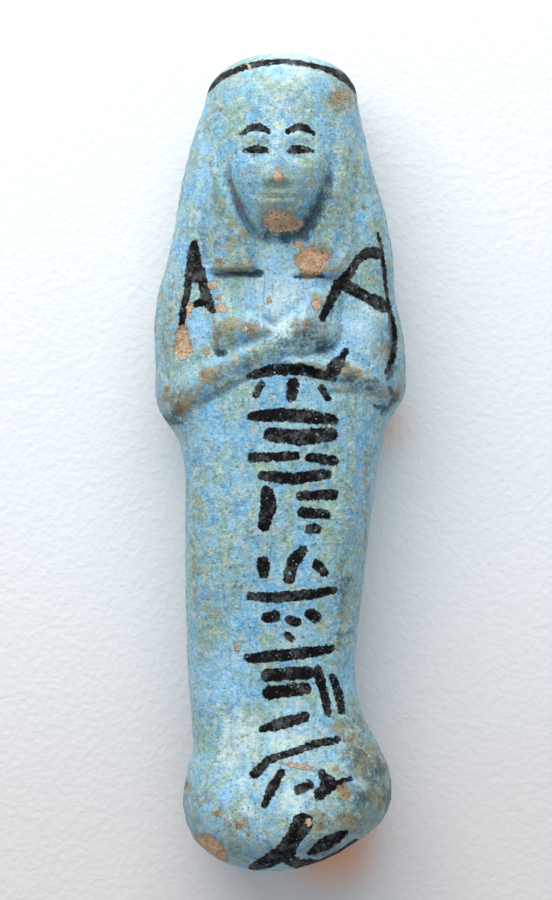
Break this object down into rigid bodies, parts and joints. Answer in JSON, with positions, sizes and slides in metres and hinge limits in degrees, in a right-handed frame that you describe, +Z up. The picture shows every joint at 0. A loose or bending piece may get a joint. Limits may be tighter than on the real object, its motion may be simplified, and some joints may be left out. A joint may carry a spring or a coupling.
{
  "type": "ushabti figurine",
  "caption": "Small mummiform funerary figurine of blue-glazed faience with a lappet wig and crossed arms, lying on its flat back.",
  "frame": {"origin": "centre of the bounding box on the surface that the figure lies on, under its flat back", "axes": "+Y runs along the figure from the feet to the crown, +Z points up out of its front, and +X is to the right of someone who looks down at its front"},
  "size_m": [0.0323, 0.105, 0.0226],
  "materials": {
    "blue_faience": "worn semi-gloss turquoise copper glaze with black painted lines, rubbed to a sandy tan core on chips and edges"
  },
  "bodies": {
    "root": {"ushabti_figure": "blue_faience"}
  },
  "joints": []
}
